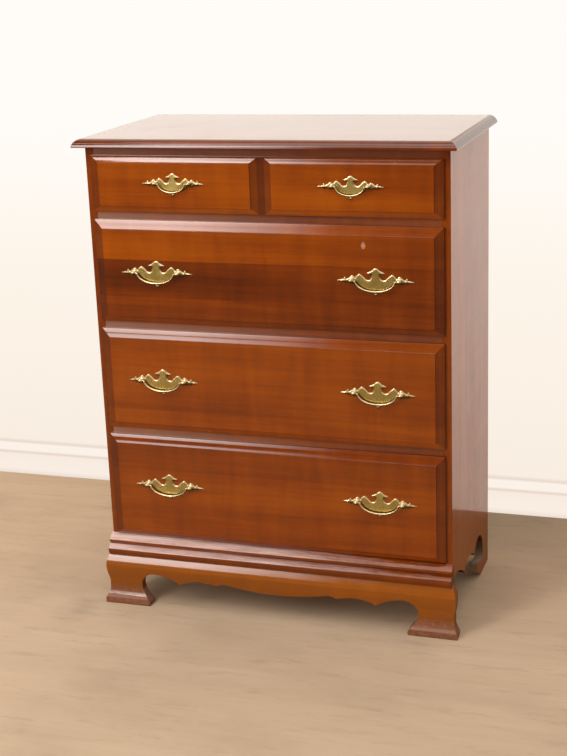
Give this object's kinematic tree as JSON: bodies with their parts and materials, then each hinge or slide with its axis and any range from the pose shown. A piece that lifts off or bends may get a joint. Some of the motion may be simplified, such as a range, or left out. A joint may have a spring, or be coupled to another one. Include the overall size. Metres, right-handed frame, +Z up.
{
  "type": "chest of drawers",
  "caption": "Wooden chest of four drawers, the top one faced as two, with batwing bail pulls, a moulded top and a scalloped apron on ogee bracket feet",
  "frame": {"origin": "on the floor, under the middle of the chest's bounding box", "axes": "+X to the right as seen from in front, +Y towards the back, +Z up; drawers open towards -Y"},
  "size_m": [0.834, 0.443, 1.073],
  "materials": {
    "case_wood": "glossy reddish-brown lacquer over maple or cherry",
    "drawer_front_wood": "glossy reddish-orange lacquer, staves of uneven colour",
    "inner_wood": "unfinished pale secondary wood",
    "brass": "polished brass, worn, darker in the recesses",
    "screws": "zinc-plated steel"
  },
  "bodies": {
    "case": {"top_board": "case_wood", "side_left": "case_wood", "side_right": "case_wood", "back_panel": "inner_wood", "top_rail": "case_wood", "drawer_rail_1": "case_wood", "drawer_rail_2": "case_wood", "drawer_rail_3": "case_wood", "bottom_rail": "case_wood", "rear_rail_1": "inner_wood", "rear_rail_2": "inner_wood", "rear_rail_3": "inner_wood", "rear_rail_4": "inner_wood", "rear_rail_5": "inner_wood", "side_runners_left": "inner_wood", "side_runners_right": "inner_wood", "base_moulding": "case_wood", "base_apron": "case_wood", "foot_block_left": "inner_wood", "foot_block_right": "inner_wood", "back_screws": "screws"},
    "top_drawer": {"top_drawer_front": "drawer_front_wood", "top_drawer_side_left": "inner_wood", "top_drawer_side_right": "inner_wood", "top_drawer_back": "inner_wood", "top_drawer_bottom": "inner_wood", "top_drawer_pull_plates": "brass", "top_drawer_pull_posts": "brass"},
    "top_drawer_handle_left": {"top_drawer_bail_left": "brass"},
    "top_drawer_handle_right": {"top_drawer_bail_right": "brass"},
    "upper_drawer": {"upper_drawer_front": "drawer_front_wood", "upper_drawer_side_left": "inner_wood", "upper_drawer_side_right": "inner_wood", "upper_drawer_back": "inner_wood", "upper_drawer_bottom": "inner_wood", "upper_drawer_pull_plates": "brass", "upper_drawer_pull_posts": "brass"},
    "upper_drawer_handle_left": {"upper_drawer_bail_left": "brass"},
    "upper_drawer_handle_right": {"upper_drawer_bail_right": "brass"},
    "middle_drawer": {"middle_drawer_front": "drawer_front_wood", "middle_drawer_side_left": "inner_wood", "middle_drawer_side_right": "inner_wood", "middle_drawer_back": "inner_wood", "middle_drawer_bottom": "inner_wood", "middle_drawer_pull_plates": "brass", "middle_drawer_pull_posts": "brass"},
    "middle_drawer_handle_left": {"middle_drawer_bail_left": "brass"},
    "middle_drawer_handle_right": {"middle_drawer_bail_right": "brass"},
    "lower_drawer": {"lower_drawer_front": "drawer_front_wood", "lower_drawer_side_left": "inner_wood", "lower_drawer_side_right": "inner_wood", "lower_drawer_back": "inner_wood", "lower_drawer_bottom": "inner_wood", "lower_drawer_pull_plates": "brass", "lower_drawer_pull_posts": "brass"},
    "lower_drawer_handle_left": {"lower_drawer_bail_left": "brass"},
    "lower_drawer_handle_right": {"lower_drawer_bail_right": "brass"}
  },
  "joints": [
    {"name": "top_drawer_slide", "type": "slide", "parent": "case", "child": "top_drawer", "axis": [0, -1, 0], "range_m": [0, 0.3]},
    {"name": "top_drawer_bail_left_swing", "type": "hinge", "parent": "top_drawer", "child": "top_drawer_handle_left", "pos_m": [-0.1945, -0.2135, 0.98], "axis": [-1, 0, 0], "range_deg": [-12, 100]},
    {"name": "top_drawer_bail_right_swing", "type": "hinge", "parent": "top_drawer", "child": "top_drawer_handle_right", "pos_m": [0.1945, -0.2135, 0.98], "axis": [-1, 0, 0], "range_deg": [-12, 100]},
    {"name": "upper_drawer_slide", "type": "slide", "parent": "case", "child": "upper_drawer", "axis": [0, -1, 0], "range_m": [0, 0.3]},
    {"name": "upper_drawer_bail_left_swing", "type": "hinge", "parent": "upper_drawer", "child": "upper_drawer_handle_left", "pos_m": [-0.2435, -0.2135, 0.786], "axis": [-1, 0, 0], "range_deg": [-12, 100]},
    {"name": "upper_drawer_bail_right_swing", "type": "hinge", "parent": "upper_drawer", "child": "upper_drawer_handle_right", "pos_m": [0.2435, -0.2135, 0.786], "axis": [-1, 0, 0], "range_deg": [-12, 100]},
    {"name": "middle_drawer_slide", "type": "slide", "parent": "case", "child": "middle_drawer", "axis": [0, -1, 0], "range_m": [0, 0.3]},
    {"name": "middle_drawer_bail_left_swing", "type": "hinge", "parent": "middle_drawer", "child": "middle_drawer_handle_left", "pos_m": [-0.2435, -0.2135, 0.543], "axis": [-1, 0, 0], "range_deg": [-12, 100]},
    {"name": "middle_drawer_bail_right_swing", "type": "hinge", "parent": "middle_drawer", "child": "middle_drawer_handle_right", "pos_m": [0.2435, -0.2135, 0.543], "axis": [-1, 0, 0], "range_deg": [-12, 100]},
    {"name": "lower_drawer_slide", "type": "slide", "parent": "case", "child": "lower_drawer", "axis": [0, -1, 0], "range_m": [0, 0.3]},
    {"name": "lower_drawer_bail_left_swing", "type": "hinge", "parent": "lower_drawer", "child": "lower_drawer_handle_left", "pos_m": [-0.2435, -0.2135, 0.297], "axis": [-1, 0, 0], "range_deg": [-12, 100]},
    {"name": "lower_drawer_bail_right_swing", "type": "hinge", "parent": "lower_drawer", "child": "lower_drawer_handle_right", "pos_m": [0.2435, -0.2135, 0.297], "axis": [-1, 0, 0], "range_deg": [-12, 100]}
  ]
}
